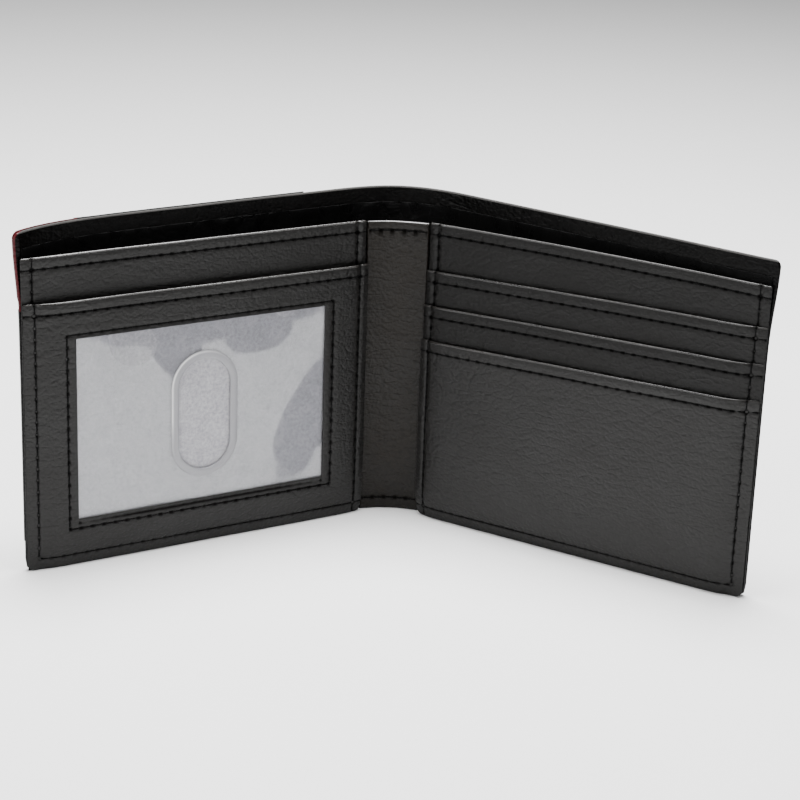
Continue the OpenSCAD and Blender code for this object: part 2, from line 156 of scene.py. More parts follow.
def grid_solid(name, front, back, uv, materials, skip=None, rim_rows=0, side=0, share=None,
               seams=(), creases=(), cap=False):
    """A closed sheet from two grids of points that meet along their borders. The rim_rows top rows take the
    second material and the back the third, cap closes the first column, and the front is drawn in along
    seams and creases as far as share allows."""
    rows, cols = front.shape[:2]
    points = np.concatenate([front.reshape(-1, 3), back.reshape(-1, 3)]) * MM
    mesh = bpy.data.meshes.new(name)
    bm = bmesh.new()
    layer = bm.loops.layers.uv.new("surface")
    depth = bm.verts.layers.float.new("share")
    groove_shade = bm.verts.layers.float.new("groove_shade")
    verts = [bm.verts.new(p) for p in points]
    if share is not None:
        for v, value in zip(verts, np.concatenate([share.ravel(), -share.ravel()])):
            v[depth] = value
    flat = uv.reshape(-1, 2)
    count = rows * cols

    def face_of(order, shift, j):
        face = bm.faces.new([verts[k + s] for k, s in zip(order, shift)])
        face.material_index = 1 if j >= rows - 1 - rim_rows else 2 if shift[0] and len(materials) > 2 else 0
        for loop, k in zip(face.loops, order):
            loop[layer].uv = flat[k]
        return face

    for j in range(rows - 1):
        for i in range(cols - 1):
            if skip is not None and skip[j, i]:
                continue
            a = j * cols + i
            quad = [a, a + 1, a + cols + 1, a + cols]
            face_of(quad, [0] * 4, j)
            face_of(quad[::-1], [count] * 4, j)
        if cap:
            a = j * cols
            for edge in face_of([a, a + cols, a + cols, a], [0, 0, count, count], j).edges:
                edge.smooth = False
    bmesh.ops.remove_doubles(bm, verts=bm.verts, dist=2e-6)
    bmesh.ops.dissolve_degenerate(bm, edges=bm.edges, dist=1e-7)
    bmesh.ops.delete(bm, geom=[v for v in bm.verts if not v.link_faces], context="VERTS")
    bmesh.ops.recalc_face_normals(bm, faces=bm.faces)
    stitches = [stitch_line(side, *s) for node in seams for s in stitch_places(node)]
    stitches += list(creases)
    if stitches:
        sew(bm, depth, groove_shade, side, np.array(stitches))
    for face in bm.faces:
        face.smooth = True
    bm.to_mesh(mesh)
    bm.free()
    piece = bpy.data.objects.new(name, mesh)
    bpy.context.scene.collection.objects.link(piece)
    for m in materials:
        mesh.materials.append(m)
    return piece


def panel_uz(side, points):
    """Outward and up coordinates of row-frame points; side 0 is the strip between the folds."""
    if side:
        return unplace(side, points)
    return points[..., 0], points[..., 2]


def stitch_line(side, centre, run):
    """Centre, direction and half-length of a stitch in (u, z)."""
    cu, cz = panel_uz(side, centre)
    eu, ez = panel_uz(side, centre + run)
    half = math.hypot(eu - cu, ez - cz)
    return cu, cz, (eu - cu) / half, (ez - cz) / half, half


def sew(bm, depth, groove_shade, side, stitches):
    """Refines the front of a sheet along its seams and presses grooves and needle holes into it."""
    faces = [f for f in bm.faces if sum(v[depth] for v in f.verts) > 0]
    middle = np.array([f.calc_center_median() for f in faces]) / MM
    close = np.array(near_seam(*panel_uz(side, middle), stitches)) < 1.1
    edges = {e for f, c in zip(faces, close) if c for e in f.edges}
    bmesh.ops.subdivide_edges(bm, edges=list(edges), cuts=2, use_grid_fill=True)
    bmesh.ops.triangulate(bm, faces=[f for f in bm.faces if len(f.verts) > 4])
    bm.verts.ensure_lookup_table()
    front = [v for v in bm.verts if v[depth] > 0]
    at = np.array([v.co for v in front]) / MM
    u, z = panel_uz(side, at)
    drawn = seam_relief(u, z, stitches) * np.array([v[depth] for v in front])
    normal = Vector((0, -1, 0)) if side == 0 else Vector((-side * math.sin(OPEN), -math.cos(OPEN), 0))
    for v, d in zip(front, drawn):
        v.co += normal * float(d) * MM
        # The groove's depth is stored so the leather can paint shade into grooves and needle holes.
        v[groove_shade] = float(np.clip((-d - 0.06) / 0.16, 0, 1))


def near_seam(u, z, stitches):
    """Distance from the nearest stitch or gap between stitches."""
    best = np.full(len(u), 99.0)
    for cu, cz, ru, rz, half in stitches:
        du, dz = u - cu, z - cz
        along, across = abs(du * ru + dz * rz), abs(du * rz - dz * ru)
        best = np.minimum(best, np.maximum(along - half - 0.6, across))
    return best


def stitch_places(node):
    """Centre and half-run of each stitch of a CAD stitching node, in millimetres."""
    mesh = frame["nodes"][node].data
    points = np.array([v.co for v in mesh.vertices]) / MM
    keys, index = np.unique(np.round(points, 3), axis=0, return_inverse=True)
    index = index.reshape(-1)
    group = list(range(len(keys)))

    def root(a):
        while group[a] != a:
            a = group[a]
        return a

    for face in mesh.polygons:
        ids = [root(index[v]) for v in face.vertices]
        for other in ids[1:]:
            group[root(other)] = root(ids[0])
    members = {}
    for k in range(len(keys)):
        members.setdefault(root(k), []).append(keys[k])
    found = []
    for block in sorted(members.values(), key=lambda b: tuple(np.round(np.mean(b, 0), 2))):
        block = np.array(block)
        centre = block.mean(0)
        run = np.linalg.svd(block - centre)[2][0]
        half = (block - centre) @ run
        found.append((centre, run * half.max()))
    return found


def seam_relief(u, z, stitches):
    """How far leather is drawn in along seams, more at each needle hole, and how it swells beside them."""
    height = np.zeros_like(u)
    for number, (cu, cz, ru, rz, half) in enumerate(stitches):
        near = (abs(u - cu) < 4 + half) & (abs(z - cz) < 4)
        du, dz = u[near] - cu, z[near] - cz
        along, across = du * ru + dz * rz, du * rz - dz * ru
        reach = np.exp(-(along / max(1.75, half)) ** 4)
        groove = (0.12 if half < 4 else 0.32) * np.exp(-(across / 0.42) ** 2) * reach
        deep = 0.26 + 0.06 * math.sin(number * 2.7)
        holes = deep * np.exp(-((abs(along) - half - 0.28) ** 2 / 0.36 ** 2 + across ** 2 / 0.34 ** 2))
        swell = 0.07 * np.exp(-((abs(across) - 1.4) / 0.7) ** 2) * np.exp(-(along / 1.2) ** 2)
        height[near] += swell - groove - holes
    return height


def waves(u, z, seed, size=0.12):
    """Gentle unevenness of a leather face."""
    r = np.random.default_rng(seed)
    total = np.zeros_like(u)
    for _ in range(7):
        length = r.uniform(11, 45)
        angle = r.uniform(0, math.pi)
        phase = r.uniform(0, 2 * math.pi)
        across = u * math.cos(angle) + z * math.sin(angle)
        total += length / 45 * np.sin(2 * math.pi * across / length + phase)
    return total * size / 2.2


def sheet_piece(name, side, front_t, thick, span, low, high, materials, *, hem=0.0, seams=(), corner=(0, 0),
                hole=None, seed=1, wave=0.1, step=1.6):
    """A flat layer of a panel with rolled edges. low and high are heights or functions of u, hem is the
    extra thickness of a folded top edge, corner the radii of the bottom and top corners, hole an opening."""
    low_at = low if callable(low) else (lambda u: low + 0 * u)
    high_at = high if callable(high) else (lambda u: high + 0 * u)
    edge, top = thick * 0.5, (thick + hem) * 0.55
    middle = (span[0] + span[1]) / 2
    base, crest = float(low_at(middle)), float(high_at(middle))
    step = 1.2 if seams else step
    us = lines(span[0], span[1], step, edge, edge, [1.5, PANEL_W - 1.5] if seams else ())
    zs = lines(base, crest, step, edge, top, [crest - 1.4, crest - HEM_W] if hem else ())
    if hole:
        us = with_hole(us, hole[0], hole[2], edge)
        zs = with_hole(zs, hole[1], hole[3], edge)
    grid_u, share = np.meshgrid(us, (zs - base) / (crest - base))
    below = low_at(grid_u)
    grid_z = below + share * (high_at(grid_u) - below)
    from_low, from_high = grid_z - below, high_at(grid_u) - grid_z
    grid_u = round_corners(grid_u, span, from_low, from_high, corner)
    from_sides = np.minimum(grid_u - grid_u[:, :1], grid_u[:, -1:] - grid_u)
    full = roll(from_low, edge) * roll(from_high, top) * roll(from_sides, edge)
    skip = None
    if hole:
        gaps = [hole[0] - grid_u, grid_u - hole[2], hole[1] - grid_z, grid_z - hole[3]]
        outside = np.maximum.reduce(gaps)
        full = full * roll(np.maximum(outside, 0), edge)
        cu, cz = (grid_u[:-1, :-1] + grid_u[1:, 1:]) / 2, (grid_z[:-1, :-1] + grid_z[1:, 1:]) / 2
        skip = (cu > hole[0]) & (cu < hole[2]) & (cz > hole[1]) & (cz < hole[3])
    relief = waves(grid_u, grid_z, seed, wave)
    if seams:
        relief = relief + 0.14 * np.exp(-((from_sides - 1.4) / 0.8) ** 2)
        drawn_up = np.exp(-((from_sides - 5.5) / 2.2) ** 2) * smooth(from_low / 5)
        tucks = np.sin(1.7 * grid_z + 0.8 * grid_u + 2 * np.sin(0.37 * grid_z + seed))
        relief = relief + 0.06 * drawn_up * tucks
    if hem:
        relief = relief + 0.14 * np.exp(-((from_high - 1.3) / 0.9) ** 2)
    deep = thick + hem * smooth((HEM_W - from_high) / 1.2)
    front = place(side, grid_u, front_t - deep / 2 + (deep / 2 + relief) * full, grid_z)
    back = place(side, grid_u, front_t - deep / 2 - (deep / 2 - np.minimum(relief, 0) * 0.6) * full, grid_z)
    uv = np.stack([grid_u + 130 * seed, grid_z], -1) / 100
    creases = []
    if hole:
        creases = [((hole[0] + hole[2]) / 2, hole[1] - 1.15, 1, 0, (hole[2] - hole[0]) / 2 - 0.5)]
    # A hemmed top edge takes the painted highlight material.
    if hem:
        materials = materials + [HEM_HIGHLIGHT[side]]
    piece = grid_solid(name, front, back, uv, materials, skip, EDGE_ROWS if hem else 0, side, full,
                       seams, creases)
    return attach(piece, BODY[side])


def round_corners(grid_u, span, from_low, from_high, corner):
    """Draws the rows near the bottom and the top in towards the middle, by the corners' radii."""
    for radius, gap in ((corner[0], from_low), (corner[1], from_high)):
        if radius:
            cut = radius - np.sqrt(np.maximum(radius ** 2 - np.maximum(radius - gap, 0) ** 2, 0))
            width = span[1] - span[0]
            grid_u = span[0] + cut + (grid_u - span[0]) * (width - 2 * cut) / width
    return grid_u


def with_hole(values, low, high, radius):
    """Grid lines with the border of an opening and its rolled edge put in."""
    ends = radius * (1 - np.cos(np.linspace(0, math.pi / 2, 5)))
    near_low = (values > low - radius - 0.1) & (values < low + 0.05)
    near_high = (values > high - 0.05) & (values < high + radius + 0.1)
    return np.sort(np.concatenate([values[~(near_low | near_high)], low - ends, high + ends]))


# ------------------------------------------------------------------ materials
class Nodes:
    """Short hand for building one material's node tree."""

    def __init__(self, name):
        self.material = bpy.data.materials.new(name)
        self.material.use_nodes = True
        self.tree = self.material.node_tree
        self.shader = self.tree.nodes["Principled BSDF"]
        self.map = self.tree.nodes.new("ShaderNodeUVMap")
        self.map.uv_map = "surface"

    def add(self, kind, inputs=None, **settings):
        node = self.tree.nodes.new(kind)
        for key, value in settings.items():
            setattr(node, key, value)
        for key, value in (inputs or {}).items():
            self.put(node.inputs[key], value)
        return node

    def put(self, socket, value):
        if isinstance(value, bpy.types.NodeSocket):
            self.tree.links.new(value, socket)
        else:
            socket.default_value = value

    def noise(self, size, detail=3.0, rough=0.55, distortion=0.0):
        """Noise whose features are about size millimetres across."""
        inputs = {"Vector": self.map.outputs["UV"], "Scale": 100 / size, "Detail": detail,
                  "Roughness": rough, "Distortion": distortion}
        return self.add("ShaderNodeTexNoise", inputs, noise_dimensions="2D").outputs["Fac"]

    def cells(self, size, feature, vector):
        """Cells about size millimetres across, as a distance."""
        inputs = {"Vector": vector, "Scale": 100 / size}
        node = self.add("ShaderNodeTexVoronoi", inputs, feature=feature, voronoi_dimensions="2D")
        return node.outputs["Distance"]

    def math(self, operation, a, b=0.0):
        node = self.add("ShaderNodeMath", operation=operation)
        self.put(node.inputs[0], a)
        self.put(node.inputs[1], b)
        return node.outputs[0]

    def spread(self, value, low, high, to_low=0.0, to_high=1.0):
        node = self.add("ShaderNodeMapRange", {"Value": value, "From Min": low, "From Max": high,
                                               "To Min": to_low, "To Max": to_high})
        return node.outputs["Result"]

    def blend(self, share, a, b):
        node = self.add("ShaderNodeMix", data_type="RGBA")
        self.put(node.inputs["Factor"], share)
        self.put(node.inputs[6], a)
        self.put(node.inputs[7], b)
        return node.outputs[2]

    def bump(self, height, distance_mm):
        inputs = {"Height": height, "Distance": distance_mm * MM, "Strength": 1.0}
        return self.add("ShaderNodeBump", inputs).outputs["Normal"]


def grey(value, warm=0.0):
    return (value * (1 + warm), value, value * (1 - warm), 1.0)


def leather(name, dark, light, rough=(0.38, 0.54), warm=0.10, grain=0.85, relief=0.14, specular=0.26):
    """Grained faux leather: pebbles, pores and small wrinkles, with painted shade that makes it matt and
    black in the grooves and needle holes of the seams.
    """
    n = Nodes(name)
    drift = {"Vector": n.map.outputs["UV"], "Scale": 100 / 1.6, "Detail": 2.0}
    bend = n.add("ShaderNodeVectorMath", operation="MULTIPLY_ADD")
    n.put(bend.inputs[0], n.add("ShaderNodeTexNoise", drift, noise_dimensions="2D").outputs["Color"])
    bend.inputs[1].default_value = (0.006, 0.004, 0.0)
    n.put(bend.inputs[2], n.map.outputs["UV"])
    pebble = n.spread(n.cells(grain, "SMOOTH_F1", bend.outputs[0]), 0.05, 0.75, 1.0, 0.0)
    stretched = n.add("ShaderNodeMapping", {"Vector": bend.outputs[0], "Scale": (0.45, 1.0, 1.0)})
    flat = stretched.outputs["Vector"]
    crease = n.spread(n.cells(grain * 2.4, "DISTANCE_TO_EDGE", flat), 0.0, 0.16)
    folds = {"Vector": flat, "Scale": 100 / 2.6, "Detail": 3.0, "Roughness": 0.6}
    wrinkle = n.add("ShaderNodeTexNoise", folds, noise_dimensions="2D").outputs["Fac"]
    fine = n.noise(0.28, 3.0)
    cloud = n.noise(16, 4.0, 0.62, 0.4)
    height = n.math("ADD", n.math("MULTIPLY", pebble, 0.5), n.math("MULTIPLY", crease, 0.30))
    height = n.math("ADD", height, n.math("MULTIPLY", fine, 0.25))
    height = n.math("ADD", height, n.math("MULTIPLY", wrinkle, 1.1))
    mottle = n.math("ADD", n.math("MULTIPLY", cloud, 0.7), n.math("MULTIPLY", pebble, 0.3))
    tone = n.spread(mottle, 0.3, 0.75)
    # Painted shade in seam grooves and needle holes: near-black, rougher and with a weak specular tint where
    # the groove is deep.
    painted_groove_shade = n.add("ShaderNodeAttribute", attribute_name="groove_shade").outputs["Fac"]
    colour = n.blend(tone, grey(dark, warm), grey(light, warm))
    n.put(n.shader.inputs["Base Color"], n.blend(n.math("MULTIPLY", painted_groove_shade, 0.85), colour, grey(0.0004)))
    shine = n.spread(n.math("ADD", cloud, n.math("MULTIPLY", fine, 0.4)), 0.4, 0.95, *rough)
    n.put(n.shader.inputs["Roughness"], n.math("ADD", shine, n.math("MULTIPLY", painted_groove_shade, 0.3)))
    n.put(n.shader.inputs["Specular Tint"], n.blend(painted_groove_shade, grey(1.0), grey(0.1)))
    n.shader.inputs["Specular IOR Level"].default_value = specular
    n.put(n.shader.inputs["Normal"], n.bump(height, relief))
    return n.material


def coloured_leather(name, dark, light):
    """The same grain on a coloured field."""
    material = leather(name, 0.1, 0.2, specular=0.2)
    mix = next(x for x in material.node_tree.nodes if x.type == "MIX")
    mix.inputs[6].default_value, mix.inputs[7].default_value = dark, light
    return material


def cloth(name, value, rough=0.5, weave=0.32, specular=0.15, relief=0.03):
    """Close woven lining with a slight gloss and soft puckers."""
    n = Nodes(name)
    split = n.add("ShaderNodeSeparateXYZ", {"Vector": n.map.outputs["UV"]})
    turns = 2 * math.pi * 100 / weave
    threads = [n.math("SINE", n.math("MULTIPLY", split.outputs[k], turns)) for k in (0, 1)]
    woven = n.math("MULTIPLY", *threads)
    folds = n.noise(5, 3.0, 0.6, 0.6)
    height = n.math("ADD", n.math("MULTIPLY", woven, 0.25), n.math("MULTIPLY", folds, 3.0))
    tone = n.spread(folds, 0.3, 0.7)
    n.put(n.shader.inputs["Base Color"], n.blend(tone, grey(value * 0.7), grey(value * 1.5)))
    n.put(n.shader.inputs["Roughness"], n.spread(folds, 0.3, 0.7, rough - 0.08, rough + 0.08))
    n.shader.inputs["Specular IOR Level"].default_value = specular
    n.put(n.shader.inputs["Normal"], n.bump(height, relief))
    return n.material


def thread_material():
    """Matt black twisted thread."""
    n = Nodes("black_thread")
    split = n.add("ShaderNodeSeparateXYZ", {"Vector": n.map.outputs["UV"]})
    twist = n.math("SINE", n.math("MULTIPLY", split.outputs[0], 900.0))
    n.put(n.shader.inputs["Base Color"], n.blend(n.spread(twist, -1, 1), grey(0.0006), grey(0.003)))
    n.shader.inputs["Specular IOR Level"].default_value = 0.06
    n.put(n.shader.inputs["Roughness"], n.spread(n.noise(0.3), 0.3, 0.7, 0.55, 0.75))
    n.put(n.shader.inputs["Normal"], n.bump(twist, 0.03))
    return n.material


def blob(n, at, radii, lean, wobble):
    """1 inside a leaning ellipse in (u, z) whose outline wanders, 0 outside."""
    split = n.add("ShaderNodeSeparateXYZ", {"Vector": n.map.outputs["UV"]})
    up = n.math("SUBTRACT", split.outputs[1], at[1] / 100)
    out = n.math("ADD", n.math("SUBTRACT", split.outputs[0], at[0] / 100), n.math("MULTIPLY", up, lean))
    parts = []
    for offset, radius in ((out, radii[0]), (up, radii[1])):
        scaled = n.math("MULTIPLY", offset, 100 / radius)
        parts.append(n.math("MULTIPLY", scaled, scaled))
    reach = n.math("ADD", n.math("ADD", *parts), n.math("SUBTRACT", wobble, 0.5))
    return n.spread(reach, 0.88, 1.16, 1.0, 0.0)


# Where the plastic clings to the paper it is darker and less milky; the wide band along the window's top is
# also painted shadow of the frame.
CLING_AND_SHADOW_PATCHES = (((48, 65.5), (36, 9), 0), ((58, 56.5), (7, 9), -0.3), ((34, 59), (11, 7.5), 0),
                 ((17, 32), (9, 18), 0.45))


def vinyl_material(name, body, haze, rough):
    """Clear wavy plastic. haze is how milky it is, away from the paper and where it clings to it, and the
    attribute called share paints a white highlight onto the plastic along the rim."""
    n = Nodes(name)
    # Painted highlight from the share attribute: whiter and more opaque along the rim.
    glint = n.spread(n.add("ShaderNodeAttribute", attribute_name="share").outputs["Fac"], 0.0, 1.0)
    n.put(n.shader.inputs["Base Color"], n.blend(glint, body, grey(0.97)))
    n.put(n.shader.inputs["Roughness"], n.spread(n.noise(9, 3.0), 0.35, 0.65, *rough))
    ripple = n.math("ADD", n.noise(11, 2.0, 0.4), n.math("MULTIPLY", n.noise(2.6, 3.0), 0.10))
    normal = n.bump(ripple, 0.9)
    n.put(n.shader.inputs["Normal"], normal)
    wobble = n.noise(13, 2.0, 0.45)
    cling_and_shadow = 0.0
    for at, radii, lean in CLING_AND_SHADOW_PATCHES:
        cling_and_shadow = n.math("MAXIMUM", blob(n, at, radii, lean, wobble), cling_and_shadow)
    # Through these patches the paper is darker: partly the plastic clinging, partly painted shadow.
    clear = n.add("ShaderNodeBsdfTransparent",
                  {"Color": n.blend(cling_and_shadow, (0.965, 0.965, 0.97, 1), (0.875, 0.875, 0.89, 1))})
    facing = n.add("ShaderNodeLayerWeight", {"Blend": 0.25, "Normal": normal})
    gloss = n.spread(facing.outputs["Fresnel"], 0.05, 1.0, 0.0, 0.7)
    share = n.math("ADD", n.spread(cling_and_shadow, 0.0, 1.0, *haze), gloss)
    share = n.math("MAXIMUM", share, n.math("MULTIPLY", glint, 0.85))
    mix = n.add("ShaderNodeMixShader", {0: share, 1: clear.outputs[0], 2: n.shader.outputs[0]})
    n.tree.links.new(mix.outputs[0], n.tree.nodes["Material Output"].inputs["Surface"])
    return n.material


def paper_material():
    """Pale grey tissue with a fine mottle."""
    n = Nodes("insert_paper")
    mottle = n.noise(0.9, 5.0, 0.7)
    fibres = n.noise(5, 4.0, 0.6, 0.8)
    mixed = n.math("ADD", n.math("MULTIPLY", mottle, 0.7), n.math("MULTIPLY", fibres, 0.3))
    tone = n.spread(mixed, 0.36, 0.64)
    n.put(n.shader.inputs["Base Color"], n.blend(tone, (0.265, 0.26, 0.285, 1), (0.43, 0.425, 0.445, 1)))
    n.put(n.shader.inputs["Roughness"], n.spread(mottle, 0.3, 0.7, 0.6, 0.8))
    n.put(n.shader.inputs["Normal"], n.bump(mottle, 0.05))
    return n.material


INNER = leather("inner_leather", 0.003, 0.006)
STRIP = leather("spine_leather", 0.003, 0.007, warm=0.3, rough=(0.40, 0.56), relief=0.22, specular=0.21)
OUTER = leather("shell_leather", 0.003, 0.006, relief=0.075)
OVERLAY = leather("overlay_leather", 0.002, 0.005, relief=0.075, grain=0.7)
ACCENT = coloured_leather("accent_leather", (0.050, 0.0022, 0.004, 1), (0.085, 0.0045, 0.007, 1))
# A darker copy of the inner leather for the right half's base panel and upper two pockets: painted shade.
SHADED_POCKET = leather("pocket_leather_painted_shade", 0.002, 0.004, specular=0.19)
# Lighter, glossier copies of the leather on the hems' rolled top edges: painted highlight, brighter on the
# left half and the spine strip, dimmer on the right half.
HEM_HIGHLIGHT = {LEFT: leather("hem_edge_painted_highlight", 0.008, 0.02, rough=(0.18, 0.26), relief=0.03, specular=0.6),
        RIGHT: leather("pocket_edge", 0.004, 0.012, rough=(0.24, 0.34), relief=0.03, specular=0.3)}
RAW_EDGE = leather("raw_edge", 0.018, 0.045, warm=0.05, rough=(0.6, 0.8), grain=0.3, relief=0.03)
# A near-black copy of the shell leather for the shell's inner face: painted shade of the note compartment.
SHADED_INSIDE = leather("shell_inside_painted_shade", 0.0006, 0.0015, rough=(0.25, 0.4), relief=0.16, specular=0.08)
LINING = cloth("note_lining", 0.0006, rough=0.32, specular=0.06, relief=0.14)
POCKET_CLOTH = cloth("pocket_fabric", 0.004, rough=0.6)
THREAD = thread_material()
CLEAR = vinyl_material("clear_vinyl", (0.86, 0.87, 0.88, 1), (0.19, 0.06), (0.08, 0.22))
CLEAR_RIM = vinyl_material("clear_rim", (0.40, 0.40, 0.42, 1), (0.55, 0.55), (0.05, 0.08))
TISSUE = paper_material()


# ------------------------------------------------------------------ pieces of a panel
def finish_piece(piece, slot, *nodes):
    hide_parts(*nodes)
    return piece


def edge_at(middle, rise):
    return lambda u: middle + rise * (u / PANEL_W - 0.5)


def turned_edges(name, side, front_t, thick, low, high, node, seed):
    """The turned leather that closes a slot along both sides and its bottom."""
    spans = [((FOLD_PLAY + 0.3, FOLD_PLAY + 2.3), low, high), ((PANEL_W - 2.3, PANEL_W - 0.3), low, high),
             ((FOLD_PLAY + 2.4, PANEL_W - 2.4), low, low + 2)]
    parts = [sheet_piece(f"{name}_{k}", side, front_t, thick, span, start, end, [INNER], seed=seed + k,
                         wave=0.02, step=3) for k, (span, start, end) in enumerate(spans)]
    bpy.ops.object.select_all(action="DESELECT")
    for p in parts:
        p.select_set(True)
    bpy.context.view_layer.objects.active = parts[0]
    bpy.ops.object.join()
    parts[0].name = name
    return finish_piece(parts[0], "inner_leather", node)


def on_shell(side, u, z):
    """A point on the outside of the shell, or of what is sewn on it."""
    c, s = math.cos(OPEN), math.sin(OPEN)
    proud = SKIN_PROUD if side == LEFT and u > 10 and z > OVERLAY_LOW else 0
    depth = float(shell_depth(side, u, z)) + proud
    return np.array([side * (FOLD_X + u * c + depth * s), FOLD_Y - u * s + depth * c, z])


def seam_frame(side, centre, back):
    """Where a stitch lies once the layers have settled, and which way faces out of the leather there."""
    if not side:
        return centre, np.array([0.0, -1.0, 0.0])
    c, s = math.cos(OPEN), math.sin(OPEN)
    towards_cards = np.array([-side * s, -c, 0])
    u, z = unplace(side, centre)
    if back:
        return on_shell(side, u, z), -towards_cards
    depth = -((centre[1] - FOLD_Y) * c + (side * centre[0] - FOLD_X) * s)
    shift = float(settle(side, u, depth, z)) - depth
    return centre + towards_cards * shift, towards_cards


def stitching(name, side, node, body, sink=0.24, back=False):
    """Real stitches in place of a CAD stitching node: short round threads that dive in at both ends."""
    rings, sides, radius = 9, 8, 0.2
    around = np.arange(sides) * 2 * math.pi / sides
    bm = bmesh.new()
    layer = bm.loops.layers.uv.new("surface")
    for number, (centre, run) in enumerate(stitch_places(node)):
        length = np.linalg.norm(run)
        along = run / length
        centre, out = seam_frame(side, centre, back)
        across = np.cross(along, out)
        loops = []
        for k in range(rings):
            f = 2 * k / (rings - 1) - 1
            lift = 0.14 * (1 - f ** 4) - sink - 0.2 * abs(f) ** 5
            size = radius * (1 - 0.45 * abs(f) ** 6)
            middle = centre + along * f * (length + 0.12) + out * lift
            ring = [middle + (across * math.cos(a) + out * 0.75 * math.sin(a)) * size for a in around]
            loops.append([bm.verts.new(point * MM) for point in ring])
        for k in range(rings - 1):
            for a in range(sides):
                places = ((k, a), (k, a + 1), (k + 1, a + 1), (k + 1, a))
                face = bm.faces.new([loops[f][g % sides] for f, g in places])
                for loop, (f, g) in zip(face.loops, places):
                    loop[layer].uv = (f * 0.003 + g * 0.002 + number * 0.1, g * 0.01)
        bm.faces.new(loops[0][::-1])
        bm.faces.new(loops[-1])
    bmesh.ops.recalc_face_normals(bm, faces=bm.faces)
    for face in bm.faces:
        face.smooth = True
    mesh = bpy.data.meshes.new(name)
    bm.to_mesh(mesh)
    bm.free()
    mesh.materials.append(THREAD)
    piece = bpy.data.objects.new(name, mesh)
    bpy.context.scene.collection.objects.link(piece)
    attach(piece, body)
    return finish_piece(piece, "thread", node)


def inset_span(inset):
    """From the fold to the outer edge of a panel, less an inset at both."""
    return FOLD_PLAY + inset, PANEL_W - inset


for side in (LEFT, RIGHT):
    tag = SIDE_NAME[side]
    base = sheet_piece(f"{tag}_inner_panel", side, 0, LEATHER, (FOLD_PLAY, PANEL_W), 0, PANEL_H,
                       [INNER if side == LEFT else SHADED_POCKET], hem=0.3,
                       seams=[f"{tag}_hem_stitching", f"{tag}_border_stitching", f"{tag}_seam_stitching"],
                       corner=PANEL_CORNERS, seed=3 + side)
    finish_piece(base, "inner_leather", f"{tag}_base_panel")
    wall = sheet_piece(f"{tag}_note_wall", side, -LEATHER - 0.05, FABRIC, inset_span(0.3), 0, PANEL_H - 1.4,
                       [LINING], seed=7 + side, corner=(2, 0.5))
    finish_piece(wall, "note_lining", f"{tag}_divider")

# Left half: a card slot behind the ID pocket
turned_edges("slot_edging", LEFT, CARD_GAP, CARD_GAP, 1, ID_EDGE - 1, "left_slot_edges", 20)
id_back = sheet_piece("id_pocket_cloth", LEFT, ID_BACK_T, FABRIC, inset_span(0.2), 0, ID_EDGE - 1.5,
                      [POCKET_CLOTH], seed=24, wave=0.05)
finish_piece(id_back, "pocket_fabric", "id_pocket_back")
turned_edges("id_edging", LEFT, ID_BACK_T + INSERT_GAP, INSERT_GAP, 1, ID_EDGE - 3, "id_pocket_edges", 26)
id_frame = sheet_piece("id_window_frame", LEFT, ID_FACE_T, LEATHER, (FOLD_PLAY, PANEL_W), 0, ID_EDGE, [INNER],
                       seams=["id_hem_stitching", "left_border_stitching", "left_seam_stitching",
                              "id_window_stitching"],
                       hem=0.25, corner=PANEL_CORNERS, hole=WINDOW, seed=30)
finish_piece(id_frame, "inner_leather", "id_frame")
insert_play = (INSERT_GAP - PAPER) / 2
insert_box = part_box("id_insert")
insert = sheet_piece("paper_insert", LEFT, ID_BACK_T + insert_play + PAPER, PAPER, INSERT_SPAN,
                     insert_box[0].z / MM, insert_box[1].z / MM, [TISSUE], corner=(2, 2), seed=33, wave=0.03)
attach(insert, "id_insert")
finish_piece(insert, "insert_paper", "id_insert")


def thumb_reach(angle, radius, straight):
    """Distance from the middle of an upright stadium to its outline, in a direction."""
    c, s = abs(math.cos(angle)), abs(math.sin(angle))
    if c > 1e-9 and radius / c * s <= straight:
        return radius / c
    return straight * s + math.sqrt(max((straight * s) ** 2 - straight ** 2 + radius ** 2, 0))


